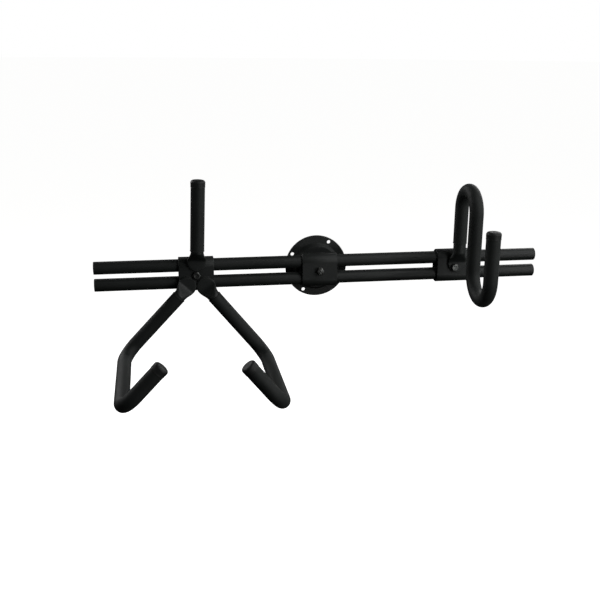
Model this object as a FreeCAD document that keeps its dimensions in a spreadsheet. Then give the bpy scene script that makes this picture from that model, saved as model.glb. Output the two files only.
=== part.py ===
import FreeCAD, Part
import math
import os

import Sketcher

# Bicycle wall rack: a round wall disc carries a pair of parallel rails on a central pivot bolt.
# A cradle with three padded arms and an S-shaped hook are clamped to the rails and slide along them.
# Frame: X along the rails to the right, Y into the wall (wall plane at Y = 0), Z up.
# The origin is the centre of the wall disc's back face. All lengths are in millimetres.

SIZES = [
    ("disc_radius", 62.5),
    ("disc_thickness", 4),
    ("dish_height", 12),
    ("dish_front_radius", 42),
    ("dish_slope", 6),
    ("dish_back_inset", 1.5),
    ("wall_hole_radius", 3.75),
    ("wall_hole_circle_radius", 55),
    ("wall_hole_turn", 27.8),
    ("rail_radius", 12.5),
    ("rail_wall", 1.5),
    ("rail_spacing", 34),
    ("rail_left_end", -438),
    ("rail_right_end", 452),
    ("rail_cap_flange", 2),
    ("rail_cap_plug", 14),
    ("friction_washer", 3),
    ("friction_washer_radius", 24),
    ("clamp_wall", 4),
    ("clamp_split", 4),
    ("pivot_clamp_width", 70),
    ("pivot_clamp_fit", 0.05),
    ("carriage_width", 68),
    ("carriage_clearance", 0.3),
    ("bolt_radius", 4),
    ("bolt_hole_radius", 4.4),
    ("thread_fit", 0.05),
    ("head_flats", 13),
    ("head_height", 5.3),
    ("head_chamfer", 0.7),
    ("corner_reach", 2.5),
    ("corner_fall", 1.3),
    ("nut_height", 6.5),
    ("lock_nut_height", 8),
    ("bolt_end", 1.2),
    ("washer_radius", 8),
    ("washer_thickness", 1.6),
    ("neck_width", 8),
    ("neck_hole_width", 8.4),
    ("round_head_radius", 9.5),
    ("round_head_height", 4.5),
    ("arm_radius", 12.5),
    ("arm_wall", 2),
    ("arm_standoff", 0.4),
    ("weld_gap", 0.1),
    ("pad_width", 37),
    ("pad_thickness", 5),
    ("pad_shoulder", 0.4),
    ("pad_centre", 28.5),
    ("tube_start", 49),
    ("sleeve_start", 52),
    ("sleeve_thickness", 1),
    ("sleeve_fit", 0.05),
    ("cap_skirt", 12),
    ("cap_wall", 1.6),
    ("cap_top", 2),
    ("cradle_x", -244),
    ("cradle_tilt", 2),
    ("top_arm_end", 186.5),
    ("lower_arm_turn", 138.8),
    ("lower_arm_length", 210.3),
    ("lower_arm_depth", 271),
    ("lower_arm_return", 108),
    ("arm_bend_radius", 36),
    ("hook_x", 277),
    ("hook_offset", 5.5),
    ("hook_pad_centre", 8),
    ("hook_tube_start", 34),
    ("hook_arch_height", 123),
    ("hook_arch_radius", 41),
    ("hook_bowl_height", 17.5),
    ("hook_bowl_radius", 46),
    ("hook_end", 110),
]

doc = FreeCAD.newDocument("bicycle_wall_rack")
sheet = doc.addObject("Spreadsheet::Sheet", "sizes")
for row, (alias, number) in enumerate(SIZES, 1):
    sheet.set("A%d" % row, alias)
    sheet.set("B%d" % row, str(number))
    sheet.setAlias("B%d" % row, alias)
doc.recompute()


class Size:
    """A length or angle: its number, and the sheet expression that gives it."""

    def __init__(self, number, text):
        self.number = number
        self.text = text

    def __add__(self, other):
        other = as_size(other)
        return Size(self.number + other.number, "(%s + %s)" % (self.text, other.text))

    def __sub__(self, other):
        other = as_size(other)
        return Size(self.number - other.number, "(%s - %s)" % (self.text, other.text))

    def __mul__(self, other):
        other = as_size(other)
        return Size(self.number * other.number, "(%s * %s)" % (self.text, other.text))

    def __truediv__(self, other):
        other = as_size(other)
        return Size(self.number / other.number, "(%s / %s)" % (self.text, other.text))

    def __neg__(self):
        return Size(-self.number, "(0 - %s)" % self.text)


def as_size(value):
    if isinstance(value, Size):
        return value
    return Size(float(value), repr(float(value)))


def sized(alias):
    return Size(float(sheet.get(alias)), "sizes." + alias)


def sine(angle):
    return Size(math.sin(math.radians(angle.number)), "sin(%s * 1 deg)" % angle.text)


def cosine(angle):
    return Size(math.cos(math.radians(angle.number)), "cos(%s * 1 deg)" % angle.text)


S = {alias: sized(alias) for alias, number in SIZES}
ZERO = as_size(0)

# Heights above the wall, all towards the front, which is -Y.
clamp_back = S["dish_height"] + S["friction_washer"]
rail_y = -(clamp_back + S["clamp_wall"] + S["pivot_clamp_fit"] + S["rail_radius"])
rail_z = S["rail_spacing"] / 2
pivot_reach = S["rail_radius"] + S["pivot_clamp_fit"] + S["clamp_wall"]
carriage_reach = S["rail_radius"] + S["carriage_clearance"] + S["clamp_wall"]
pivot_front = rail_y - pivot_reach
carriage_front = rail_y - carriage_reach
carriage_back = rail_y + carriage_reach
arm_y = carriage_front - S["arm_standoff"] - S["arm_radius"]
pad_back = carriage_front - S["weld_gap"]
pad_front = pad_back - S["pad_thickness"]

made = []


def bind(thing, prop, size):
    thing.setExpression(prop, as_size(size).text)


def keep(thing, label):
    """Marks a finished sub-part: its label is its node and file name."""
    thing.Label = label
    made.append(thing)
    return thing


def place(thing, x=ZERO, y=ZERO, z=ZERO, axis=None, angle=None):
    if axis is not None:
        turned = FreeCAD.Rotation(FreeCAD.Vector(*axis), angle.number)
        thing.Placement = FreeCAD.Placement(FreeCAD.Vector(), turned)
        bind(thing, "Placement.Rotation.Angle", angle)
    bind(thing, "Placement.Base.x", x)
    bind(thing, "Placement.Base.y", y)
    bind(thing, "Placement.Base.z", z)


# ---- helpers for bodies made of sketches ----


def new_body(name):
    return doc.addObject("PartDesign::Body", name)


def new_sketch(body, name, plane, shift=ZERO):
    """A sketch on one of the body's own planes, moved by shift along the plane's normal."""
    sketch = body.newObject("Sketcher::SketchObject", name)
    for feature in body.Origin.OriginFeatures:
        if feature.Role == plane:
            sketch.AttachmentSupport = [(feature, "")]
    sketch.MapMode = "FlatFace"
    sketch.setExpression("AttachmentOffset.Base.z", shift.text)
    return sketch


def pin(sketch, geometry, end, u, v):
    """Fixes one point of a sketch at (u, v) from the sketch's origin."""
    for kind, size, axis in (("DistanceX", u, -2), ("DistanceY", v, -1)):
        if size.number == 0:
            sketch.addConstraint(Sketcher.Constraint("PointOnObject", geometry, end, axis))
        else:
            index = sketch.addConstraint(Sketcher.Constraint(kind, -1, 1, geometry, end, size.number))
            sketch.setExpression("Constraints[%d]" % index, size.text)


def circle(sketch, u, v, radius):
    centre = FreeCAD.Vector(u.number, v.number, 0)
    index = sketch.addGeometry(Part.Circle(centre, FreeCAD.Vector(0, 0, 1), radius.number), False)
    pin(sketch, index, 3, u, v)
    held = sketch.addConstraint(Sketcher.Constraint("Radius", index, radius.number))
    sketch.setExpression("Constraints[%d]" % held, radius.text)
    return index


def polygon(sketch, corners):
    """A closed outline of straight edges through the corners."""
    first = sketch.GeometryCount
    count = len(corners)
    for i in range(count):
        u, v = corners[i]
        next_u, next_v = corners[(i + 1) % count]
        start = FreeCAD.Vector(u.number, v.number, 0)
        finish = FreeCAD.Vector(next_u.number, next_v.number, 0)
        sketch.addGeometry(Part.LineSegment(start, finish), False)
    for i in range(count):
        sketch.addConstraint(Sketcher.Constraint("Coincident", first + i, 2, first + (i + 1) % count, 1))
    for i in range(count):
        pin(sketch, first + i, 1, corners[i][0], corners[i][1])


def rectangle(sketch, u_low, v_low, u_high, v_high):
    polygon(sketch, [(u_low, v_low), (u_high, v_low), (u_high, v_high), (u_low, v_high)])


def hexagon(sketch, flats):
    """A hexagon about the sketch's origin, given its width across flats."""
    corner = flats / math.sqrt(3)
    corners = []
    for i in range(6):
        turn = math.radians(60 * i)
        corners.append((corner * round(math.cos(turn), 12), corner * round(math.sin(turn), 12)))
    polygon(sketch, corners)


def pad(body, sketch, length, reverse=False):
    feature = body.newObject("PartDesign::Pad", "Pad")
    feature.Profile = sketch
    bind(feature, "Length", length)
    feature.Reversed = reverse
    sketch.Visibility = False
    return feature


def pocket(body, sketch, length, reverse=False):
    feature = body.newObject("PartDesign::Pocket", "Pocket")
    feature.Profile = sketch
    bind(feature, "Length", length)
    feature.Reversed = reverse
    sketch.Visibility = False
    return feature


def ring(body, name, plane, shift, u, v, outer, inner, length, reverse=False):
    """A round tube length long, starting on the shifted plane."""
    sketch = new_sketch(body, name, plane, shift)
    circle(sketch, u, v, outer)
    circle(sketch, u, v, inner)
    return pad(body, sketch, length, reverse)


# ---- wall disc, pivot bolt and what is stacked on it ----

# The disc is pressed from one sheet: a flat flange on the wall and a raised centre for the pivot.
disc = new_body("WallDisc")
outline = new_sketch(disc, "DiscOutline", "XY_Plane")
dish_back = S["disc_thickness"] - S["dish_height"]
slope_foot = S["dish_front_radius"] + S["dish_slope"]
polygon(outline, [
    (ZERO, -S["dish_height"]),
    (S["dish_front_radius"], -S["dish_height"]),
    (slope_foot, -S["disc_thickness"]),
    (S["disc_radius"] - 1, -S["disc_thickness"]),
    (S["disc_radius"], -(S["disc_thickness"] - 1)),
    (S["disc_radius"], ZERO),
    (slope_foot + S["dish_back_inset"], ZERO),
    (S["dish_front_radius"] + S["dish_back_inset"], dish_back),
    (ZERO, dish_back),
])
turned = disc.newObject("PartDesign::Revolution", "Revolution")
turned.Profile = outline
turned.ReferenceAxis = (outline, ["V_Axis"])
turned.Angle = 360
neck_hole = new_sketch(disc, "NeckHole", "XZ_Plane")
half_neck = S["neck_hole_width"] / 2
rectangle(neck_hole, -half_neck, -half_neck, half_neck, half_neck)
pocket(disc, neck_hole, S["dish_height"] + 2, reverse=True)
wall_hole = new_sketch(disc, "WallHole", "XZ_Plane")
hole_u = S["wall_hole_circle_radius"] * sine(S["wall_hole_turn"])
hole_v = S["wall_hole_circle_radius"] * cosine(S["wall_hole_turn"])
circle(wall_hole, hole_u, hole_v, S["wall_hole_radius"])
hole_cut = pocket(disc, wall_hole, S["dish_height"] + 2, reverse=True)
doc.recompute()
holes = disc.newObject("PartDesign::PolarPattern", "WallHoles")
holes.Originals = [hole_cut]
holes.Axis = (wall_hole, ["N_Axis"])
holes.Angle = 360
holes.Occurrences = 4
disc.Tip = holes
keep(disc, "wall_disc")

# The pivot bolt's round head sits in the hollow behind the raised centre, its square neck in the disc.
nut_seat = pivot_front - S["washer_thickness"]
bolt_tip = nut_seat - S["lock_nut_height"] - S["bolt_end"]
bolt = new_body("PivotBolt")
outline = new_sketch(bolt, "BoltOutline", "XY_Plane")
polygon(outline, [
    (ZERO, dish_back + S["round_head_height"]),
    (S["round_head_radius"] * 0.45, dish_back + S["round_head_height"]),
    (S["round_head_radius"] * 0.8, dish_back + S["round_head_height"] * 0.72),
    (S["round_head_radius"], dish_back + S["round_head_height"] * 0.3),
    (S["round_head_radius"], dish_back),
    (S["bolt_radius"], dish_back),
    (S["bolt_radius"], bolt_tip + S["head_chamfer"]),
    (S["bolt_radius"] - S["head_chamfer"], bolt_tip),
    (ZERO, bolt_tip),
])
turned = bolt.newObject("PartDesign::Revolution", "Revolution")
turned.Profile = outline
turned.ReferenceAxis = (outline, ["V_Axis"])
turned.Angle = 360
neck = new_sketch(bolt, "Neck", "XZ_Plane", -dish_back)
half_neck = S["neck_width"] / 2
rectangle(neck, -half_neck, -half_neck, half_neck, half_neck)
pad(bolt, neck, S["disc_thickness"] - 0.3)
keep(bolt, "pivot_bolt")


def washer(label, outer, inner, thickness, x, y):
    """A flat washer about the Y axis whose back face is at (x, y)."""
    body = new_body(label.title().replace("_", ""))
    ring(body, "Face", "XZ_Plane", ZERO, ZERO, ZERO, outer, inner, thickness)
    place(body, x, y)
    return keep(body, label)


def chamfered_hexagon(body, height, to_front):
    """A hexagonal head or nut on the XZ plane, its outer corners turned down by a cone."""
    sketch = new_sketch(body, "Hexagon", "XZ_Plane")
    hexagon(sketch, S["head_flats"])
    pad(body, sketch, height, reverse=not to_front)
    corner_cut = new_sketch(body, "CornerCut", "XY_Plane")
    half = S["head_flats"] / 2
    face = -height if to_front else height
    foot = face + S["corner_fall"] if to_front else face - S["corner_fall"]
    outside = half + S["corner_reach"]
    polygon(corner_cut, [(half, face), (outside, face), (outside, foot)])
    groove = body.newObject("PartDesign::Groove", "Groove")
    groove.Profile = corner_cut
    groove.ReferenceAxis = (corner_cut, ["V_Axis"])
    groove.Angle = 360


def nut(label, height, x, y, to_front):
    """A hexagon nut whose seat is at (x, y), facing the front or the wall."""
    body = new_body(label.title().replace("_", ""))
    chamfered_hexagon(body, height, to_front)
    bore = new_sketch(body, "Bore", "XZ_Plane")
    circle(bore, ZERO, ZERO, S["bolt_radius"] + S["thread_fit"])
    pocket(body, bore, height, reverse=to_front)
    place(body, x, y)
    return keep(body, label)


def hex_bolt(label, x, seat, tip):
    """A hexagon bolt with its head on the front at seat, its end towards the wall at tip."""
    body = new_body(label.title().replace("_", ""))
    chamfered_hexagon(body, S["head_height"], True)
    shank = new_sketch(body, "Shank", "XZ_Plane")
    circle(shank, ZERO, ZERO, S["bolt_radius"])
    pad(body, shank, tip - seat, reverse=True)
    place(body, x, seat)
    return keep(body, label)


washer("friction_washer", S["friction_washer_radius"], S["bolt_hole_radius"], S["friction_washer"],
       ZERO, -S["dish_height"])
washer("pivot_washer", S["washer_radius"], S["bolt_hole_radius"], S["washer_thickness"], ZERO, pivot_front)
nut("pivot_nut", S["lock_nut_height"], ZERO, nut_seat, True)

# ---- clamp halves: a shell that wraps both rails, split into a front and a rear half ----


def solid_box(name, width, y_low, y_high, z_low, z_high):
    box = doc.addObject("Part::Box", name)
    bind(box, "Length", width)
    bind(box, "Width", y_high - y_low)
    bind(box, "Height", z_high - z_low)
    place(box, -width / 2, y_low, z_low)
    return box


def stadium(name, width, radius):
    """Two cylinders on the rail axes and the block between them, width long along X."""
    pieces = [solid_box(name + "Middle", width, rail_y - radius, rail_y + radius, -rail_z, rail_z)]
    for side, height in (("Upper", rail_z), ("Lower", -rail_z)):
        roll = doc.addObject("Part::Cylinder", name + side)
        bind(roll, "Radius", radius)
        bind(roll, "Height", width)
        roll.Placement.Rotation = FreeCAD.Rotation(FreeCAD.Vector(0, 1, 0), 90)
        bind(roll, "Placement.Base.x", -width / 2)
        bind(roll, "Placement.Base.y", rail_y)
        bind(roll, "Placement.Base.z", height)
        pieces.append(roll)
    joined = doc.addObject("Part::MultiFuse", name)
    joined.Shapes = pieces
    joined.Refine = True
    return joined


def clamp_half(label, x, width, fit, front):
    name = label.title().replace("_", "")
    inner = S["rail_radius"] + fit
    outer = inner + S["clamp_wall"]
    shell = doc.addObject("Part::Cut", name + "Shell")
    shell.Base = stadium(name + "Outer", width, outer)
    shell.Tool = stadium(name + "Inner", width + 2, inner)
    half_split = S["clamp_split"] / 2
    if front:
        low, high = rail_y - outer - 1, rail_y - half_split
    else:
        low, high = rail_y + half_split, rail_y + outer + 1
    side = doc.addObject("Part::Common", name + "Side")
    side.Base = shell
    side.Tool = solid_box(name + "Space", width + 2, low, high, -rail_z - outer - 1, rail_z + outer + 1)
    drill = doc.addObject("Part::Cylinder", name + "Drill")
    bind(drill, "Radius", S["bolt_hole_radius"])
    drill.Height = 80
    drill.Placement.Rotation = FreeCAD.Rotation(FreeCAD.Vector(1, 0, 0), 90)
    half = doc.addObject("Part::Cut", name)
    half.Base = side
    half.Tool = drill
    place(half, x)
    return keep(half, label)


clamp_half("pivot_clamp_rear", ZERO, S["pivot_clamp_width"], S["pivot_clamp_fit"], False)
clamp_half("pivot_clamp_front", ZERO, S["pivot_clamp_width"], S["pivot_clamp_fit"], True)

# ---- rails and their end caps ----


def rail(label, height):
    body = new_body(label.title().replace("_", ""))
    ring(body, "Face", "YZ_Plane", S["rail_left_end"], rail_y, height, S["rail_radius"],
         S["rail_radius"] - S["rail_wall"], S["rail_right_end"] - S["rail_left_end"])
    return keep(body, label)


def rail_cap(label, x, height, to_right):
    """A plug cap: a flange over the tube's end and a plug with a hollow inside it."""
    body = new_body(label.title().replace("_", ""))
    flange = new_sketch(body, "Flange", "YZ_Plane", x)
    circle(flange, rail_y, height, S["rail_radius"])
    pad(body, flange, S["rail_cap_flange"], reverse=not to_right)
    plug_radius = S["rail_radius"] - S["rail_wall"] - 0.1
    ring(body, "Plug", "YZ_Plane", x, rail_y, height, plug_radius, plug_radius - 2, S["rail_cap_plug"],
         reverse=to_right)
    return keep(body, label)


for level, height in (("upper", rail_z), ("lower", -rail_z)):
    rail("rail_" + level, height)
    rail_cap("rail_cap_%s_left" % level, S["rail_left_end"], height, False)
    rail_cap("rail_cap_%s_right" % level, S["rail_right_end"], height, True)

# ---- arms: padded tubes with their inner ends pressed flat and welded to a clamp's face ----
# Each arm is drawn pointing up from the clamp's centre and then turned about the Y axis, so that
# across the arm is X, towards the front is -Y and along the arm is Z. All its bends lie in the YZ plane.

N = {alias: size.number for alias, size in S.items()}
ARM_Y = arm_y.number
UP = FreeCAD.Vector(0, 0, 1)


# Sections between the flat pad and the round tube.
SWELL_STEPS = 4


def bend(start, middle, end):
    return Part.Arc(start, middle, end).toShape()


def arm_path(start, legs):
    """Straight runs joined by tangent arcs, from height start on the arm's axis.

    legs is a list of (kind, height, depth, radius): a "half" turn bends over to the parallel leg at
    depth, with its centre at height; a "square" turn runs straight out at that height to depth, with a
    quarter bend at each end; an "end" stops the last leg at height.
    """
    def point(depth, height):
        return FreeCAD.Vector(0, ARM_Y - depth, height)

    edges = []
    here, level, sense = 0.0, start, 1
    slant = math.sqrt(0.5)
    for kind, height, depth, radius in legs:
        if kind == "end":
            edges.append(Part.LineSegment(point(here, level), point(here, height)).toShape())
        elif kind == "half":
            middle = (here + depth) / 2
            edges.append(Part.LineSegment(point(here, level), point(here, height)).toShape())
            crown = point(middle, height + sense * radius)
            edges.append(bend(point(here, height), crown, point(depth, height)))
            here, level, sense = depth, height, -sense
        else:
            low = height - sense * radius
            inset = radius * (1 - slant)
            edges.append(Part.LineSegment(point(here, level), point(here, low)).toShape())
            edges.append(bend(point(here, low), point(here + inset, height - sense * inset),
                              point(here + radius, height)))
            run = Part.LineSegment(point(here + radius, height), point(depth - radius, height))
            edges.append(run.toShape())
            edges.append(bend(point(depth - radius, height), point(depth - inset, height - sense * inset),
                              point(depth, low)))
            here, level, sense = depth, low, -sense
    return Part.Wire(edges)


def swept(path, radius):
    start = path.Edges[0].valueAt(path.Edges[0].FirstParameter)
    section = Part.Wire(Part.makeCircle(radius, start, UP))
    return path.makePipeShell([section], True, False)


def hollow_sweep(path, outer, inner):
    return swept(path, outer).cut(swept(path, inner))


def oval(middle, across, through):
    """A level ellipse about middle, by its half-widths across and through the arm."""
    if across >= through:
        return Part.Ellipse(middle + FreeCAD.Vector(across, 0, 0),
                            middle + FreeCAD.Vector(0, through, 0), middle).toShape()
    return Part.Ellipse(middle + FreeCAD.Vector(0, through, 0),
                        middle + FreeCAD.Vector(-across, 0, 0), middle).toShape()


def flat_end(centre, tube_start):
    """The flattened end: a round-ended pad against the clamp, swelling smoothly into the round tube."""
    half = N["pad_width"] / 2
    back = pad_back.number
    thick = N["pad_thickness"]
    plate = Part.makeCylinder(half, thick, FreeCAD.Vector(0, back, centre), FreeCAD.Vector(0, -1, 0))
    below = Part.makeBox(2 * half, thick, half, FreeCAD.Vector(-half, back - thick, centre - half))
    wide = half - N["pad_shoulder"]
    thin = (thick - N["pad_shoulder"]) / 2
    sections = []
    for step in range(SWELL_STEPS + 1):
        share = step / SWELL_STEPS
        grown = share * share * (3 - 2 * share)
        height = centre + share * (tube_start - centre)
        middle = FreeCAD.Vector(0, back - thick / 2 + grown * (ARM_Y - back + thick / 2), height)
        across = wide + grown * (N["arm_radius"] - wide)
        through = thin + grown * (N["arm_radius"] - thin)
        if step < SWELL_STEPS:
            outline = oval(middle, across, through)
        else:
            outline = Part.makeCircle(N["arm_radius"], middle, UP)
        sections.append(Part.Wire(outline))
    return plate.common(below).fuse(Part.makeLoft(sections, True))


def feature(label, shape, x, turn):
    """A finished piece drawn in an arm's own frame, set on its clamp at x and turned about Y."""
    thing = doc.addObject("Part::Feature", label.title().replace("_", ""))
    thing.Shape = shape
    turned = FreeCAD.Rotation(FreeCAD.Vector(0, 1, 0), turn.number)
    thing.Placement = FreeCAD.Placement(FreeCAD.Vector(x.number, 0, 0), turned)
    bind(thing, "Placement.Base.x", x)
    return keep(thing, label)


def end_cap(path):
    """A slip-on cap: a skirt round the tube's end and a domed top."""
    last = path.Edges[-1]
    end = last.valueAt(last.LastParameter)
    along = last.tangentAt(last.LastParameter)
    if (end - last.valueAt(last.FirstParameter)).dot(along) < 0:
        end = last.valueAt(last.FirstParameter)
    inner = N["arm_radius"] + N["sleeve_fit"]
    outer = inner + N["cap_wall"]
    skirt_foot = end - along * N["cap_skirt"]
    skirt = Part.makeCylinder(outer, N["cap_skirt"] + N["cap_top"], skirt_foot, along)
    rim = [edge for edge in skirt.Edges if edge.Length < 7 * outer and edge.Closed
           and (edge.CenterOfMass - end).dot(along) > 0]
    domed = skirt.makeFillet(N["cap_top"] * 0.8, rim)
    return domed.cut(Part.makeCylinder(inner, N["cap_skirt"], skirt_foot, along))


def arm(prefix, x, turn, legs, centre, tube_start, bolt_at=None):
    """Adds one arm's tube, padded sleeve and end cap."""
    path = arm_path(tube_start, legs)
    outer, inner = N["arm_radius"], N["arm_radius"] - N["arm_wall"]
    tube = flat_end(centre, tube_start).fuse(hollow_sweep(path, outer, inner)).removeSplitter()
    if bolt_at is not None:
        hole = Part.makeCylinder(N["bolt_hole_radius"], 100, FreeCAD.Vector(bolt_at, 0, 0),
                                 FreeCAD.Vector(0, -1, 0))
        tube = tube.cut(hole)
    feature(prefix + "_tube", tube, x, turn)
    kind, height, depth, radius = legs[-1]
    sense = -1 if legs[0][0] == "square" else 1
    shorter = legs[:-1] + [(kind, height - sense * N["cap_skirt"], depth, radius)]
    sleeve_path = arm_path(N["sleeve_start"], shorter)
    bore = N["arm_radius"] + N["sleeve_fit"]
    sleeve = hollow_sweep(sleeve_path, N["arm_radius"] + N["sleeve_thickness"], bore)
    feature(prefix + "_sleeve", sleeve, x, turn)
    feature(prefix + "_cap", end_cap(path), x, turn)


def carriage(prefix, x, seat):
    """A sliding clamp: two halves, and the bolt, washer and nut that pull them together on the rails."""
    clamp_half(prefix + "_clamp_rear", x, S["carriage_width"], S["carriage_clearance"], False)
    clamp_half(prefix + "_clamp_front", x, S["carriage_width"], S["carriage_clearance"], True)
    washer_back = carriage_back + S["washer_thickness"]
    tip = washer_back + S["nut_height"] + S["bolt_end"]
    hex_bolt(prefix + "_bolt", x, seat, tip)
    washer(prefix + "_washer", S["washer_radius"], S["bolt_hole_radius"], S["washer_thickness"],
           x, washer_back)
    nut(prefix + "_nut", S["nut_height"], x, washer_back, False)


carriage("cradle", S["cradle_x"], carriage_front)
upright = [("end", N["top_arm_end"], 0, 0)]
arm("cradle_top", S["cradle_x"], S["cradle_tilt"], upright, N["pad_centre"], N["tube_start"])
deep = N["lower_arm_depth"]
cup = [
    ("square", N["lower_arm_length"], deep, N["arm_bend_radius"]),
    ("end", N["lower_arm_length"] - N["lower_arm_return"], deep, 0),
]
for name, side in (("left", -1), ("right", 1)):
    turn = S["cradle_tilt"] + S["lower_arm_turn"] * side
    arm("cradle_" + name, S["cradle_x"], turn, cup, N["pad_centre"], N["tube_start"])

carriage("hook", S["hook_x"], pad_front)
arch_depth = 2 * N["hook_arch_radius"]
tip_depth = arch_depth + 2 * N["hook_bowl_radius"]
s_bend = [
    ("half", N["hook_arch_height"], arch_depth, N["hook_arch_radius"]),
    ("half", N["hook_bowl_height"], tip_depth, N["hook_bowl_radius"]),
    ("end", N["hook_end"], tip_depth, 0),
]
arm("hook", S["hook_x"] + S["hook_offset"], ZERO, s_bend, N["hook_pad_centre"], N["hook_tube_start"],
    bolt_at=-N["hook_offset"])

# ---- check every object and write one STEP file for each sub-part ----

doc.recompute()
for thing in doc.Objects:
    if "Invalid" in thing.State or "Error" in thing.State:
        raise RuntimeError("%s is %s" % (thing.Name, thing.State))
os.makedirs("parts", exist_ok=True)
for thing in made:
    if thing.Shape.isNull() or not thing.Shape.isValid():
        raise RuntimeError("%s has no valid shape" % thing.Label)
    thing.Shape.exportStep("parts/%s.step" % thing.Label)
    box = thing.Shape.BoundBox
    print("%-22s solids %d  volume %9.0f  x %.1f..%.1f  y %.1f..%.1f  z %.1f..%.1f" % (
        thing.Label, len(thing.Shape.Solids), thing.Shape.Volume,
        box.XMin, box.XMax, box.YMin, box.YMax, box.ZMin, box.ZMax))
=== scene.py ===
import math
import random

import bmesh
import bpy
from mathutils import Matrix, Vector


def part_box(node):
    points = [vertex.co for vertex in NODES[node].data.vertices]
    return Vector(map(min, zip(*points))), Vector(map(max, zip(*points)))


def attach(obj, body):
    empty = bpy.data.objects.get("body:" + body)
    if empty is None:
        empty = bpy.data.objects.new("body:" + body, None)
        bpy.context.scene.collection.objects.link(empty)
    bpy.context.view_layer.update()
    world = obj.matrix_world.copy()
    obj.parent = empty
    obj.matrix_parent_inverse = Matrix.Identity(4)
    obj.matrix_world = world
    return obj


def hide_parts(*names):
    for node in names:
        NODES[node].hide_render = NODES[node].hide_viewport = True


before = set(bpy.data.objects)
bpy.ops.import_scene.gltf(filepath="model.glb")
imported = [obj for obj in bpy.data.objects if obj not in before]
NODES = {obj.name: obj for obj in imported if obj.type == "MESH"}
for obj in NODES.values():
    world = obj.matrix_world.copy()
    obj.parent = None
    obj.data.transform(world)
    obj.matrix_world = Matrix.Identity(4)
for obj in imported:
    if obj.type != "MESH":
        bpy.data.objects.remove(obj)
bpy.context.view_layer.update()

MM = 0.001
random.seed(7)


# ---------------------------------------------------------------- places taken from the frame

def middle(node):
    """The middle of a CAD node's box, in metres."""
    low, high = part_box(node)
    return (Vector(low) + Vector(high)) / 2


def size(node):
    """The three sides of a CAD node's box, in metres."""
    low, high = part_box(node)
    return Vector(high) - Vector(low)


ARM_Y = middle("cradle_top_sleeve").y
SLEEVE_RADIUS = size("cradle_top_sleeve").y / 2
CAP_RADIUS = size("cradle_top_cap").y / 2
CRADLE_X = middle("cradle_clamp_front").x
HOOK_ARM_X = middle("hook_sleeve").x
CARRIAGE_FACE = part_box("cradle_clamp_front")[0][1]

# Sizes of the bent tubes, in millimetres and degrees. A height is measured along the arm from its
# clamp's middle, and a depth is how far a run stands in front of the arm's first run.
CRADLE_TILT = 2.0
LOWER_ARM_TURN = 138.8
LOWER_ARM_DEPTH = 271
LOWER_ARM_BENDS = [(0, 210.3, 36), (LOWER_ARM_DEPTH, 210.3, 36)]
HOOK_DEPTH = 174
HOOK_ARCH_TOP = 164
HOOK_BOWL_FOOT = -28.5
HOOK_BENDS = [(0, HOOK_ARCH_TOP, 41), (82, HOOK_ARCH_TOP, 41),
              (82, HOOK_BOWL_FOOT, 46), (HOOK_DEPTH, HOOK_BOWL_FOOT, 46)]
TUBE_RADIUS = 12.5
PAD_HALF_WIDTH = 18.5
PAD_THICKNESS = 5.0

# One row per arm: body, x of the arm, turn about Y, and for the tube's open end its height, its
# depth, and which way it points along the arm.
ARMS = {
    "cradle_top": ("cradle_carriage", CRADLE_X, CRADLE_TILT, 186.5 * MM, 0.0, 1),
    "cradle_left": ("cradle_carriage", CRADLE_X, CRADLE_TILT - LOWER_ARM_TURN, 108 * MM,
                    LOWER_ARM_DEPTH * MM, -1),
    "cradle_right": ("cradle_carriage", CRADLE_X, CRADLE_TILT + LOWER_ARM_TURN, 108 * MM,
                     LOWER_ARM_DEPTH * MM, -1),
    "hook": ("hook_carriage", HOOK_ARM_X, 0.0, 110 * MM, HOOK_DEPTH * MM, 1),
}
# One row per arm: height of its pad's centre, height from which the tube is round, and its bends
# as (depth, height, bend radius) of the corners that its straight runs would meet in.
FORMS = {
    "cradle_top": (28.5, 49.0, []),
    "cradle_left": (28.5, 49.0, LOWER_ARM_BENDS),
    "cradle_right": (28.5, 49.0, LOWER_ARM_BENDS),
    "hook": (8.0, 34.0, HOOK_BENDS),
}


def arm_matrix(name, height, depth=0.0, sense=1):
    """A frame on an arm: origin on its axis at that height and depth, local Z along the arm."""
    _, x, turn, *_ = ARMS[name]
    spin = Matrix.Rotation(math.radians(turn), 4, "Y")
    flip = Matrix.Identity(4) if sense > 0 else Matrix.Rotation(math.pi, 4, "X")
    here = Matrix.Translation((x, 0, 0)) @ spin @ Matrix.Translation((0, ARM_Y - depth, height))
    return here @ flip


def facing_front(x, y):
    """A frame at (x, y, 0) whose local Z points to the front, along -Y."""
    return Matrix(((1, 0, 0, x), (0, 0, -1, y), (0, 1, 0, 0), (0, 0, 0, 1)))


def facing_wall(x, y):
    """A frame at (x, y, 0) whose local Z points to the wall, along +Y."""
    return Matrix(((-1, 0, 0, x), (0, 0, 1, y), (0, 1, 0, 0), (0, 0, 0, 1)))


# ---------------------------------------------------------------- materials

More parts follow.
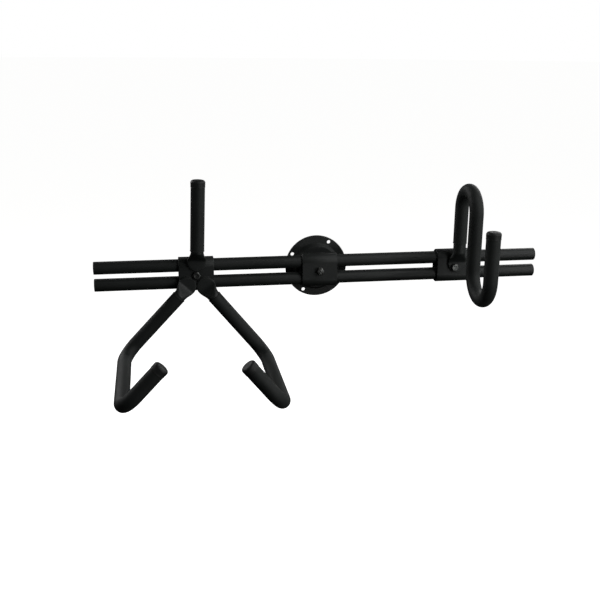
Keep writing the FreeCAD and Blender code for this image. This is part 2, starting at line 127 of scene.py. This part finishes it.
class Recipe:
    """A principled material whose colour, roughness and bump come from procedural nodes."""

    def __init__(self, name, metallic, specular):
        self.material = bpy.data.materials.new(name)
        self.material.use_nodes = True
        self.tree = self.material.node_tree
        self.shader = self.tree.nodes["Principled BSDF"]
        self.shader.inputs["Metallic"].default_value = metallic
        self.shader.inputs["Specular IOR Level"].default_value = specular
        self.coordinates = self.tree.nodes.new("ShaderNodeTexCoord").outputs["Object"]
        self.bumped = None

    def node(self, kind, inputs=None, **settings):
        """A new node; each input is a value, or the socket that feeds it."""
        made = self.tree.nodes.new(kind)
        for key, value in settings.items():
            setattr(made, key, value)
        for key, value in (inputs or {}).items():
            if isinstance(value, bpy.types.NodeSocket):
                self.tree.links.new(value, made.inputs[key])
            else:
                made.inputs[key].default_value = value
        return made

    def stretched(self, scale):
        """Object coordinates scaled apart along X, Y and Z."""
        return self.node("ShaderNodeMapping", {"Vector": self.coordinates, "Scale": scale}).outputs[0]

    def noise(self, scale, detail=2.0, roughness=0.5, vector=None):
        inputs = {"Vector": vector or self.coordinates, "Scale": scale,
                  "Detail": detail, "Roughness": roughness}
        return self.node("ShaderNodeTexNoise", inputs).outputs["Fac"]

    def between(self, value, low, high, out_low=0.0, out_high=1.0):
        """Value taken from low..high to out_low..out_high, held at the ends."""
        inputs = {"Value": value, "From Min": low, "From Max": high,
                  "To Min": out_low, "To Max": out_high}
        return self.node("ShaderNodeMapRange", inputs).outputs[0]

    def times(self, a, b):
        return self.node("ShaderNodeMath", {0: a, 1: b}, operation="MULTIPLY").outputs[0]

    def plus(self, a, b):
        return self.node("ShaderNodeMath", {0: a, 1: b}, operation="ADD").outputs[0]

    def mix(self, share, a, b):
        """Colour a where share is 0, colour b where it is 1."""
        made = self.tree.nodes.new("ShaderNodeMix")
        made.data_type = "RGBA"
        for index, value in ((0, share), (6, a), (7, b)):
            if isinstance(value, bpy.types.NodeSocket):
                self.tree.links.new(value, made.inputs[index])
            else:
                made.inputs[index].default_value = value
        return made.outputs[2]

    def edges(self, radius):
        """1 on sharp outer edges and 0 elsewhere."""
        rounded = self.node("ShaderNodeBevel", {"Radius": radius}, samples=6).outputs[0]
        plain = self.node("ShaderNodeNewGeometry").outputs["Normal"]
        meeting = self.node("ShaderNodeVectorMath", {0: rounded, 1: plain}, operation="DOT_PRODUCT")
        return self.between(meeting.outputs["Value"], 0.995, 0.88)

    def bump(self, height, strength, distance):
        """One more layer of relief, on top of the layers added before it."""
        inputs = {"Height": height, "Strength": strength, "Distance": distance}
        if self.bumped is not None:
            inputs["Normal"] = self.bumped
        self.bumped = self.node("ShaderNodeBump", inputs).outputs[0]

    def finish(self, colour, roughness):
        self.tree.links.new(colour, self.shader.inputs["Base Color"])
        self.tree.links.new(roughness, self.shader.inputs["Roughness"])
        self.tree.links.new(self.bumped, self.shader.inputs["Normal"])
        return self.material


def powder_coat(name, rubbed_along=None):
    """Semi-matt black powder coat with orange peel, worn edges and, on the rails, sliding marks."""
    r = Recipe(name, 0.0, 0.42)
    cloud = r.noise(11.0, 3.0)
    peel = r.noise(620.0, 2.5, 0.45)
    grit = r.noise(2600.0, 1.0)
    colour = r.mix(r.between(cloud, 0.35, 0.65), (0.0105, 0.0128, 0.0121, 1), (0.0172, 0.0200, 0.0190, 1))
    colour = r.mix(r.between(grit, 0.62, 0.78, 0.0, 0.45), colour, (0.042, 0.044, 0.043, 1))
    rough = r.between(r.plus(r.times(peel, 0.5), r.times(cloud, 0.5)), 0.3, 0.7, 0.44, 0.60)
    chips = r.times(r.edges(0.0011), r.between(r.noise(210.0, 3.0), 0.42, 0.66))
    colour = r.mix(r.times(chips, 0.55), colour, (0.115, 0.117, 0.113, 1))
    if rubbed_along:
        lines = r.noise(1.0, 4.0, 0.7, r.stretched(rubbed_along))
        scratch = r.between(lines, 0.61, 0.70, 0.0, 0.42)
        colour = r.mix(scratch, colour, (0.055, 0.057, 0.056, 1))
        rough = r.plus(rough, r.times(scratch, -0.12))
        r.bump(lines, 0.08, 0.0001)
    r.bump(peel, 0.40, 0.00030)
    r.bump(grit, 0.12, 0.00008)
    return r.finish(colour, rough)


def sleeve_rubber(name):
    """Matt rubber with a fine pebbled skin, soft bloom and a few pale scuffs."""
    r = Recipe(name, 0.0, 0.30)
    r.shader.inputs["Sheen Weight"].default_value = 0.05
    r.shader.inputs["Sheen Roughness"].default_value = 0.5
    bloom = r.noise(16.0, 4.0, 0.6)
    cells = r.node("ShaderNodeTexVoronoi", {"Vector": r.coordinates, "Scale": 900.0}, feature="SMOOTH_F1")
    pebble = cells.outputs["Distance"]
    fine = r.noise(2400.0, 2.0)
    scuffs = r.noise(1.0, 4.0, 0.7, r.stretched((55.0, 55.0, 190.0)))
    colour = r.mix(r.between(bloom, 0.35, 0.68), (0.0118, 0.0142, 0.0134, 1), (0.0190, 0.0222, 0.0211, 1))
    colour = r.mix(r.between(pebble, 0.45, 0.85, 0.0, 0.35), colour, (0.0075, 0.0082, 0.0080, 1))
    colour = r.mix(r.between(scuffs, 0.66, 0.76, 0.0, 0.30), colour, (0.050, 0.051, 0.049, 1))
    rough = r.between(r.plus(r.times(bloom, 0.6), r.times(fine, 0.4)), 0.3, 0.7, 0.56, 0.74)
    r.bump(pebble, 0.35, 0.00030)
    r.bump(fine, 0.16, 0.00008)
    return r.finish(colour, rough)


def cap_plastic(name, tint):
    """Moulded plastic: a spark-eroded texture, faint flow marks and corners polished by handling."""
    r = Recipe(name, 0.0, 0.34)
    flow = r.noise(1.0, 3.0, 0.6, r.stretched((60.0, 60.0, 260.0)))
    spark = r.noise(1700.0, 3.0, 0.6)
    low = tuple(c * 0.8 for c in tint) + (1,)
    high = tuple(c * 1.3 for c in tint) + (1,)
    colour = r.mix(r.between(flow, 0.35, 0.65), low, high)
    colour = r.mix(r.between(spark, 0.60, 0.80, 0.0, 0.3), colour, tuple(c * 2.4 for c in tint) + (1,))
    worn = r.edges(0.0008)
    colour = r.mix(r.times(worn, 0.35), colour, tuple(c * 3.2 for c in tint) + (1,))
    rough = r.plus(r.between(spark, 0.3, 0.7, 0.48, 0.62), r.times(worn, -0.08))
    r.bump(spark, 0.25, 0.00012)
    r.bump(flow, 0.06, 0.0001)
    return r.finish(colour, rough)


def bolt_steel(name):
    """Dark zinc: turned rings, a mottled passivated film and bright worn corners."""
    r = Recipe(name, 1.0, 0.5)
    film = r.noise(240.0, 4.0, 0.6)
    rings = r.node("ShaderNodeTexWave", {"Vector": r.coordinates, "Scale": 420.0, "Distortion": 1.2,
                                         "Detail": 2.0, "Detail Scale": 2.0},
                   wave_type="RINGS", rings_direction="Z").outputs["Fac"]
    dust = r.noise(2100.0, 2.0)
    colour = r.mix(r.between(film, 0.32, 0.68), (0.085, 0.090, 0.090, 1), (0.165, 0.168, 0.160, 1))
    worn = r.times(r.edges(0.0006), r.between(film, 0.30, 0.60))
    colour = r.mix(r.times(worn, 0.7), colour, (0.46, 0.46, 0.45, 1))
    rough = r.plus(r.between(dust, 0.3, 0.7, 0.36, 0.50), r.times(rings, -0.05))
    r.bump(rings, 0.10, 0.00005)
    r.bump(dust, 0.12, 0.00004)
    return r.finish(colour, rough)


MATERIALS = {
    "black_powder_coat": powder_coat("powder_coat"),
    "rubber_sleeve": sleeve_rubber("sleeve_rubber"),
    "cap_plastic": cap_plastic("cap_plastic", (0.0150, 0.0162, 0.0158)),
    "black_bolt_steel": bolt_steel("bolt_steel"),
    "friction_nylon": cap_plastic("friction_nylon", (0.050, 0.050, 0.049)),
}
RAIL_COAT = powder_coat("powder_coat_rail", rubbed_along=(5.0, 520.0, 520.0))


# ---------------------------------------------------------------- pieces built as meshes

def piece(name, shells, place, body, slot, sharp=38.0, stands_for=()):
    """One object from rings of points; each shell is a list of rings, joined in order."""
    bm = bmesh.new()
    for rings, closed in shells:
        made = [[bm.verts.new(p) for p in points] for points in rings]
        pairs = list(zip(made, made[1:] + made[:1])) if closed else list(zip(made, made[1:]))
        for one, two in pairs:
            if len(one) == 1 or len(two) == 1:
                tip, rim = (one[0], two) if len(one) == 1 else (two[0], one)
                for a, b in zip(rim, rim[1:] + rim[:1]):
                    bm.faces.new((tip, a, b))
            else:
                for a, b, c, d in zip(one, one[1:] + one[:1], two[1:] + two[:1], two):
                    bm.faces.new((a, b, c, d))
    bmesh.ops.recalc_face_normals(bm, faces=bm.faces)
    for face in bm.faces:
        face.smooth = True
    for edge in bm.edges:
        edge.smooth = edge.calc_face_angle(0.0) < math.radians(sharp)
    mesh = bpy.data.meshes.new(name)
    bm.to_mesh(mesh)
    bm.free()
    made = bpy.data.objects.new(name, mesh)
    bpy.context.collection.objects.link(made)
    made.matrix_world = place
    mesh.materials.append(MATERIALS[slot])
    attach(made, body)
    if stands_for:
        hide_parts(*stands_for)
    return made


def circle(radius, z, count=72):
    if radius == 0.0:
        return [(0.0, 0.0, z)]
    turns = [2 * math.pi * k / count for k in range(count)]
    return [(radius * math.cos(t), radius * math.sin(t), z) for t in turns]


def lathed(profile, count=72):
    """A closed shell of revolution about local Z from (radius, z) pairs in millimetres."""
    ends_on_axis = profile[0][0] == 0 and profile[-1][0] == 0
    return [circle(r * MM, z * MM, count) for r, z in profile], not ends_on_axis


def corner(r, z, radius, start, stop, steps=5):
    """Points of a rounded corner about (r, z), from angle start to stop in degrees."""
    angles = [math.radians(start + (stop - start) * k / steps) for k in range(steps + 1)]
    return [(r + radius * math.cos(a), z + radius * math.sin(a)) for a in angles]


def bead(ring_radius, z, radius):
    """A closed ring of round section about local Z."""
    return lathed(corner(ring_radius, z, radius, 0, 330, 11), 96)


# Fasteners, in millimetres: an M8 thread and a 13 mm hexagon, drawn with this many points a ring.
HEX_COUNT = 96
HALF_FLATS = 6.5
BOLT_RADIUS = 4.0
BOLT_HEAD = 5.3
THREAD_PITCH = 1.25
THREAD_DEPTH = 0.62
STEPS_PER_TURN = 10


def hexagon(z, scale=1.0, chamfer_from=None, drop=0.577):
    """A ring on a hexagon's outline; with chamfer_from, its corners drop away as a cone cuts them."""
    points = []
    for k in range(HEX_COUNT):
        turn = 2 * math.pi * k / HEX_COUNT
        within = (turn % (math.pi / 3)) - math.pi / 6
        radius = scale * HALF_FLATS / math.cos(within)
        level = z
        if chamfer_from is not None:
            level = z - max(0.0, radius - chamfer_from) * drop
        points.append((radius * math.cos(turn) * MM, radius * math.sin(turn) * MM, level * MM))
    return points


def thread_rings(z_start, z_end):
    """Rings of a helical thread from z_start to z_end, shallower at both of its ends."""
    rings = []
    steps = int(abs(z_end - z_start) / THREAD_PITCH * STEPS_PER_TURN)
    for k in range(steps + 1):
        z = z_start + (z_end - z_start) * k / steps
        points = []
        for j in range(HEX_COUNT):
            turn = 2 * math.pi * j / HEX_COUNT
            phase = (z / THREAD_PITCH + j / HEX_COUNT) % 1.0
            ramp = min(1.0, max(0.0, (abs(phase - 0.5) * 2 - 0.12) / 0.76))
            fade = min(1.0, k / STEPS_PER_TURN, (steps - k) / STEPS_PER_TURN + 0.15)
            radius = BOLT_RADIUS - THREAD_DEPTH * ramp * fade
            points.append((radius * math.cos(turn) * MM, radius * math.sin(turn) * MM, z * MM))
        rings.append(points)
    return rings


def plain(radius, z):
    """A round ring in millimetres, with as many points as a hexagon's."""
    return circle(radius * MM, z * MM, HEX_COUNT)


def hex_bolt_shell(length):
    """Dished head above z = 0 on a washer face, shank down to -length, its last part threaded."""
    flat = HALF_FLATS * 0.94
    dish = BOLT_HEAD - 0.12
    thread_top = 19.0 - length
    rings = [circle(0.0, dish * MM), plain(flat * 0.62, dish), plain(flat * 0.70, BOLT_HEAD)]
    rings += [plain(flat, BOLT_HEAD), hexagon(BOLT_HEAD, 1.0, flat)]
    rings += [hexagon(0.55), hexagon(0.4, 0.985), plain(flat, 0.4), plain(flat, 0.0)]
    rings += [plain(BOLT_RADIUS + 0.3, 0.0), plain(BOLT_RADIUS, -0.4), plain(BOLT_RADIUS, thread_top)]
    rings += thread_rings(thread_top - 0.2, 0.9 - length)
    rings += [plain(BOLT_RADIUS - 0.45, 0.5 - length), plain(BOLT_RADIUS - 0.9, -length)]
    rings += [circle(0.0, -length * MM)]
    return rings, False


def lock_nut_shell(height):
    """Hexagon with a round collar that holds the nylon ring, about local Z, seat at z = 0."""
    flat = HALF_FLATS * 0.95
    hex_top = height * 0.70
    inner = 4.05
    rings = [plain(inner + 0.35, 0.0), plain(flat, 0.0), hexagon(0.0, 1.0, flat, -0.5)]
    rings += [hexagon(hex_top, 1.0, flat), plain(flat * 0.985, hex_top)]
    rings += [plain(5.75, hex_top + 0.12), plain(5.55, hex_top + 0.4)]
    rings += [plain(r, z) for r, z in corner(4.95, height - 0.6, 0.6, 0, 90, 5)]
    rings += [plain(4.75, height), plain(4.62, height - 0.25)]
    rings += [plain(inner, height - 0.9), plain(inner, 0.35)]
    return rings, True


def nylon_ring_shell(height):
    """The nylon ring held in the collar of a lock nut of that height."""
    profile = [(4.02, height - 1.6), (4.9, height - 1.6), (4.9, height - 0.45)]
    profile += corner(4.45, height - 0.42, 0.24, 30, 150, 4) + [(4.02, height - 0.5)]
    return lathed(profile)


def arm_cap_shell():
    """Slip-on cap about local Z, the tube's end at z = 0: beaded foot, rounded crown, gate mark."""
    outer = CAP_RADIUS / MM
    bore = 12.55
    profile = [(0.0, 0.02), (bore, 0.02), (bore, -12.0), (outer - 0.25, -12.0)]
    profile += corner(outer - 0.55, -11.25, 0.55, -60, 60, 6)
    profile += [(outer - 0.35, -10.5), (outer - 0.28, -9.6), (outer - 0.06, -3.4)]
    crown = [math.radians(6 * k) for k in range(1, 15)]
    profile += [(outer - 5 + 4.95 * math.cos(a), -3.2 + 4.9 * math.sin(a)) for a in crown]
    profile += [(6.0, 1.78), (2.3, 1.84), (2.0, 1.66), (1.1, 1.60), (0.9, 1.76), (0.0, 1.80)]
    return [lathed(profile)]


def rail_cap_shell():
    """Push-in cap about local Z, flange from z = 0 to 2, ribbed plug below it inside the rail."""
    flange = 12.5
    profile = [(0.0, -14.0), (9.6, -14.0), (10.6, -13.0)]
    for z in (-11.5, -8.5, -5.5, -2.5):
        profile += [(10.55, z - 0.9), (10.92, z), (10.55, z + 0.9)]
    profile += [(10.55, -0.1), (flange - 0.35, 0.0)]
    profile += corner(flange - 0.3, 0.3, 0.3, -60, 0, 3)
    profile += corner(flange - 1.0, 1.0, 1.0, 0, 80, 6)
    profile += [(9.2, 1.96), (8.8, 1.62), (8.2, 1.55), (7.7, 1.62), (7.3, 1.96)]
    profile += [(1.7, 1.98), (1.4, 1.68), (0.7, 1.62), (0.0, 1.70)]
    return [lathed(profile)]


# Weld beads, in millimetres: the clamp's face is flat up to CLAMP_FLAT from its middle and falls
# away round CLAMP_ROUND beyond it.
CLAMP_FLAT = 17.0
CLAMP_ROUND = 16.8
BEAD_RADIUS = 1.25
BEAD_SUNK = 0.25
BEAD_GAP = 0.35
BEAD_STEPS = 150
BEAD_SIDES = 12
RIPPLE_LENGTH = 2.3


def weld_bead(arm, reach):
    """A rippled bead on the clamp round the foot of an arm's pad, reach degrees to either side."""
    body, x, turn, *_ = ARMS[arm]
    centre = FORMS[arm][0]
    bend = PAD_HALF_WIDTH + BEAD_GAP
    spin = Matrix.Rotation(math.radians(turn), 4, "Y")
    path = []
    for k in range(BEAD_STEPS + 1):
        swing = math.radians(-reach + 2 * reach * k / BEAD_STEPS)
        here = spin @ Vector((bend * math.sin(swing), 0.0, centre - bend * math.cos(swing)))
        over = max(0.0, abs(here.z) - CLAMP_FLAT)
        back = CLAMP_ROUND - math.sqrt(max(0.0, CLAMP_ROUND ** 2 - over ** 2))
        away = (spin @ Vector((math.sin(swing), 0.0, -math.cos(swing)))).normalized()
        path.append((Vector((here.x + x / MM, CARRIAGE_FACE / MM - BEAD_SUNK + back, here.z)), away))
    front = Vector((0, -1, 0))
    rings = []
    run = 0.0
    for k, (point, away) in enumerate(path):
        if k:
            run += (point - path[k - 1][0]).length
        ends = min(1.0, k / 5, (BEAD_STEPS - k) / 5)
        ripple = 1 + 0.09 * math.sin(2 * math.pi * run / RIPPLE_LENGTH) + random.uniform(-0.03, 0.03)
        thick = max(0.05, BEAD_RADIUS * math.sqrt(ends) * ripple)
        ring = []
        for j in range(BEAD_SIDES):
            angle = 2 * math.pi * j / BEAD_SIDES
            spot = point + away * thick * math.cos(angle) + front * thick * math.sin(angle)
            ring.append(tuple(spot * MM))
        rings.append(ring)
    start = [tuple(path[0][0] * MM)]
    stop = [tuple(path[-1][0] * MM)]
    piece(arm + "_weld", [([start] + rings + [stop], False)], Matrix.Identity(4), body,
          "black_powder_coat", 80.0)


def rounded_route(corners):
    """Points and tangents, as (depth, height) pairs, along straight runs joined by tangent arcs."""
    route = []
    for k, (depth, height, radius) in enumerate(corners[1:-1], 1):
        here = Vector((depth, height))
        coming = (here - Vector(corners[k - 1][:2])).normalized()
        going = (Vector(corners[k + 1][:2]) - here).normalized()
        turn = coming.x * going.y - coming.y * going.x
        start = here - coming * radius
        centre = start + Vector((-coming.y, coming.x)) * radius * (1 if turn > 0 else -1)
        for step in range(19):
            swing = math.radians(5 * step)
            spot = centre + (start - centre) * math.cos(swing) + coming * radius * math.sin(swing)
            route.append((spot, coming * math.cos(swing) + going * math.sin(swing)))
    return route


# Each ring of a formed tube is a superellipse: power 2 is round, a higher power is squarer.
ROUND = 2.0
PRESSED = 7.0
TUBE_SIDES = 64
PAD_LIFT = 0.1


def formed_tube(name):
    """An arm's tube: its end pressed flat into a round-ended pad, then round and bent to the tip."""
    body, x, turn, end, depth, sense = ARMS[name]
    centre, round_from, bends = FORMS[name]
    thin = PAD_THICKNESS / 2
    pad_depth = (ARM_Y - CARRIAGE_FACE) / MM + PAD_LIFT + thin
    stations = []
    for swing in (5, 11, 18, 26, 35, 45, 56, 68, 80):
        angle = math.radians(swing)
        across = PAD_HALF_WIDTH * math.sin(angle)
        through = thin * min(1.0, 0.45 + across / 5)
        height = centre - PAD_HALF_WIDTH * math.cos(angle)
        stations.append((Vector((pad_depth, height)), Vector((0, 1)), across, through, PRESSED))
    for step in range(21):
        share = step / 20
        grown = share * share * (3 - 2 * share)
        spot = Vector((pad_depth * (1 - grown), centre + share * (round_from - centre)))
        across = PAD_HALF_WIDTH + grown * (TUBE_RADIUS - PAD_HALF_WIDTH)
        through = thin + grown * (TUBE_RADIUS - thin)
        power = PRESSED - (PRESSED - ROUND) * min(1.0, share * 1.6)
        stations.append((spot, Vector((0, 1)), across, through, power))
    corners = [(0, round_from, 0)] + bends + [(depth / MM, end / MM, 0)]
    for spot, along in rounded_route(corners):
        stations.append((spot, along, TUBE_RADIUS, TUBE_RADIUS, ROUND))
    tip = Vector((depth / MM, end / MM))
    stations.append((tip, Vector((0, sense)), TUBE_RADIUS, TUBE_RADIUS, ROUND))
    rings = [[(0.0, ARM_Y - pad_depth * MM, (centre - PAD_HALF_WIDTH) * MM)]]
    for spot, along, across, through, power in stations:
        ring = []
        for k in range(TUBE_SIDES):
            angle = 2 * math.pi * k / TUBE_SIDES
            c, d = math.cos(angle), math.sin(angle)
            u = across * math.copysign(abs(c) ** (2 / power), c)
            v = through * math.copysign(abs(d) ** (2 / power), d)
            point = spot + Vector((along.y, -along.x)) * v
            ring.append((u * MM, ARM_Y - point.x * MM, point.y * MM))
        rings.append(ring)
    rings.append([(0.0, ARM_Y - tip.x * MM, tip.y * MM)])
    place = Matrix.Translation((x, 0, 0)) @ Matrix.Rotation(math.radians(turn), 4, "Y")
    rings = [[tuple(place @ Vector(point)) for point in ring] for ring in rings]
    piece(name + "_tube_formed", [(rings, False)], Matrix.Identity(4), body, "black_powder_coat",
          50.0, stands_for=(name + "_tube",))


# ---------------------------------------------------------------- fasteners

for name, body in (("cradle", "cradle_carriage"), ("hook", "hook_carriage")):
    low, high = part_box(name + "_bolt")
    x = middle(name + "_bolt").x
    seat = low[1] + BOLT_HEAD * MM
    shell = hex_bolt_shell((high[1] - seat) / MM)
    piece(name + "_bolt_threaded", [shell], facing_front(x, seat), body, "black_bolt_steel",
          stands_for=(name + "_bolt",))
    low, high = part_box(name + "_nut")
    height = (high[1] - low[1]) / MM
    there = facing_wall(x, low[1])
    piece(name + "_lock_nut", [lock_nut_shell(height)], there, body, "black_bolt_steel",
          stands_for=(name + "_nut",))
    piece(name + "_nut_insert", [nylon_ring_shell(height)], there, body, "friction_nylon")

low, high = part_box("pivot_nut")
height = (high[1] - low[1]) / MM
there = facing_front(0.0, high[1])
piece("pivot_lock_nut", [lock_nut_shell(height)], there, "wall_mount", "black_bolt_steel",
      stands_for=("pivot_nut",))
piece("pivot_nut_insert", [nylon_ring_shell(height)], there, "wall_mount", "friction_nylon")


PIVOT_SEAT_Y = -8.0


def carriage_bolt_shell():
    """Round-headed bolt with a square neck, about local Z to the front, its head's seat at z = 0."""
    tip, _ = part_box("pivot_bolt")
    length = -tip[1] / MM + PIVOT_SEAT_Y
    dome = [math.radians(9 * k) for k in range(1, 10)]
    head = [(0.0, -4.5)] + [(9.5 * math.sin(a), -4.5 + 3.3 * (1 - math.cos(a))) for a in dome]
    head += [(9.5, -1.0), (9.5, -0.25), (9.3, 0.0), (5.9, 0.0)]
    rings = [plain(r, z) if r else circle(0.0, z * MM) for r, z in head]
    for z in (0.0, 3.4):
        points = []
        for k in range(HEX_COUNT):
            turn = 2 * math.pi * k / HEX_COUNT
            within = ((turn + math.pi / 4) % (math.pi / 2)) - math.pi / 4
            radius = min(BOLT_RADIUS / math.cos(within), 5.45)
            points.append((radius * math.cos(turn) * MM, radius * math.sin(turn) * MM, z * MM))
        rings.append(points)
    rings += [plain(BOLT_RADIUS, 4.0), plain(BOLT_RADIUS, length - 22.0)]
    rings += thread_rings(length - 21.8, length - 0.8)
    rings += [plain(3.55, length - 0.45), plain(3.1, length), circle(0.0, length * MM)]
    return rings, False


piece("pivot_bolt_threaded", [carriage_bolt_shell()], facing_front(0.0, PIVOT_SEAT_Y * MM), "wall_mount",
      "black_bolt_steel", stands_for=("pivot_bolt",))


# ---------------------------------------------------------------- caps, sleeve lips and welds

SLEEVE_START = 52 * MM
RAIL_CAP_FLANGE = 2 * MM

for name, (body, _, _, end, depth, sense) in ARMS.items():
    formed_tube(name)
    piece(name + "_cap_moulded", arm_cap_shell(), arm_matrix(name, end, depth, sense), body, "cap_plastic",
          stands_for=(name + "_cap",))
    lip = bead(SLEEVE_RADIUS / MM - 0.15, 0.35, 0.7)
    piece(name + "_sleeve_lip", [lip], arm_matrix(name, SLEEVE_START), body, "rubber_sleeve", 80.0)

for side, sense in (("left", -1), ("right", 1)):
    for row in ("upper", "lower"):
        node = "rail_cap_%s_%s" % (row, side)
        low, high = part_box(node)
        end_x = low[0] + RAIL_CAP_FLANGE if sense < 0 else high[0] - RAIL_CAP_FLANGE
        place = Matrix.Translation((end_x, middle(node).y, middle(node).z))
        place = place @ Matrix.Rotation(math.radians(90 * sense), 4, "Y")
        piece(node + "_moulded", rail_cap_shell(), place, "rail_frame", "cap_plastic", stands_for=(node,))

weld_bead("cradle_top", 66)
weld_bead("cradle_left", 66)
weld_bead("cradle_right", 66)
weld_bead("hook", 100)


# ---------------------------------------------------------------- CAD nodes: finish and softened edges

# Width of the rounded edge given to each pressed or stamped part, in millimetres.
SOFTENED = {
    "pivot_clamp_front": 0.6, "pivot_clamp_rear": 0.6, "cradle_clamp_front": 0.6,
    "cradle_clamp_rear": 0.6, "hook_clamp_front": 0.6, "hook_clamp_rear": 0.6, "pivot_washer": 0.25,
    "cradle_washer": 0.25, "hook_washer": 0.25, "friction_washer": 0.4,
}
for node, thing in NODES.items():
    slot = thing.data.materials[0].name.split(".")[0]
    material = RAIL_COAT if node.startswith("rail_") and slot == "black_powder_coat" else MATERIALS[slot]
    thing.material_slots[0].link = "OBJECT"
    thing.material_slots[0].material = material
    if node in SOFTENED:
        weld = thing.modifiers.new("Weld", "WELD")
        weld.merge_threshold = 0.002 * MM
        bevel = thing.modifiers.new("Bevel", "BEVEL")
        bevel.width = SOFTENED[node] * MM
        bevel.segments = 3
        bevel.limit_method = "ANGLE"
        bevel.angle_limit = math.radians(32)
        bevel.harden_normals = True


# ---------------------------------------------------------------- floor, light and camera

def floor_material():
    """Pale floor that glows softly, with a faint unevenness."""
    r = Recipe("pale_floor", 0.0, 0.1)
    r.bump(r.noise(30.0, 2.0), 0.02, 0.001)
    tone = r.mix(r.between(r.noise(0.7, 2.0), 0.3, 0.7), (0.90, 0.90, 0.895, 1), (0.93, 0.93, 0.925, 1))
    r.shader.inputs["Emission Color"].default_value = (1.0, 1.0, 0.995, 1)
    r.shader.inputs["Emission Strength"].default_value = 0.985
    return r.finish(tone, r.between(r.noise(3.0), 0.3, 0.7, 0.85, 0.95))


FLOOR_HEIGHT = -0.95
FLOOR_RADIUS = 60
bpy.ops.mesh.primitive_circle_add(vertices=64, radius=FLOOR_RADIUS, fill_type="NGON",
                                  location=(0, 0, FLOOR_HEIGHT))
floor = bpy.context.object
floor.name = "floor"
floor.data.materials.append(floor_material())
floor.visible_glossy = False
floor.visible_diffuse = False

world = bpy.data.worlds.new("studio")
bpy.context.scene.world = world
world.use_nodes = True
world.node_tree.nodes["Background"].inputs["Color"].default_value = (1.0, 1.0, 1.0, 1)
world.node_tree.nodes["Background"].inputs["Strength"].default_value = 1.0
world.cycles_visibility.glossy = False
world.cycles_visibility.diffuse = False


CENTRE = Vector((0.0, -0.10, 0.0))


def soft_box(name, place, width, height, power):
    """A rectangular area light at place, aimed at the middle of the object."""
    data = bpy.data.lights.new(name, "AREA")
    data.shape = "RECTANGLE"
    data.size = width
    data.size_y = height
    data.energy = power
    lamp = bpy.data.objects.new(name, data)
    bpy.context.collection.objects.link(lamp)
    lamp.location = place
    lamp.rotation_euler = (CENTRE - Vector(place)).to_track_quat("-Z", "Y").to_euler()


soft_box("overhead", (1.0, -0.8, 1.7), 1.6, 0.9, 11)
soft_box("key_front", (1.5, -1.8, 0.8), 1.1, 0.9, 12)
soft_box("low_front", (1.2, -1.8, -0.5), 1.2, 0.5, 5)
soft_box("fill_left", (-2.2, -1.7, 0.5), 1.0, 1.4, 2)
soft_box("side_right", (2.4, -0.3, 0.7), 1.6, 1.2, 11)
soft_box("side_left", (-2.7, 0.6, 0.9), 1.6, 1.2, 7)
soft_box("back_left", (-1.6, 1.9, 1.2), 1.5, 1.2, 22)
soft_box("back_right", (1.8, 1.7, 1.0), 1.5, 1.2, 18)

# The camera looks at AIM from DISTANCE metres away, turned and tipped by these angles.
YAW, PITCH_DOWN, ROLL = math.radians(9.59), math.radians(16.58), math.radians(0.46)
AIM = Vector((-0.04006, -0.050, -0.05754))
DISTANCE = 1.7655
LENS = 53.06
SENSOR_WIDTH = 36.0

ahead = Vector((math.sin(YAW) * math.cos(PITCH_DOWN), math.cos(YAW) * math.cos(PITCH_DOWN),
                -math.sin(PITCH_DOWN)))
level = Vector((math.cos(YAW), -math.sin(YAW), 0.0))
upward = level.cross(ahead)
right = level * math.cos(ROLL) + upward * math.sin(ROLL)
up = upward * math.cos(ROLL) - level * math.sin(ROLL)
camera_data = bpy.data.cameras.new("camera")
camera_data.lens = LENS
camera_data.sensor_width = SENSOR_WIDTH
camera = bpy.data.objects.new("camera", camera_data)
bpy.context.collection.objects.link(camera)
turned = Matrix((right, up, -ahead)).transposed().to_4x4()
camera.matrix_world = Matrix.Translation(AIM - ahead * DISTANCE) @ turned
bpy.context.scene.camera = camera
bpy.context.scene.view_settings.view_transform = "Standard"
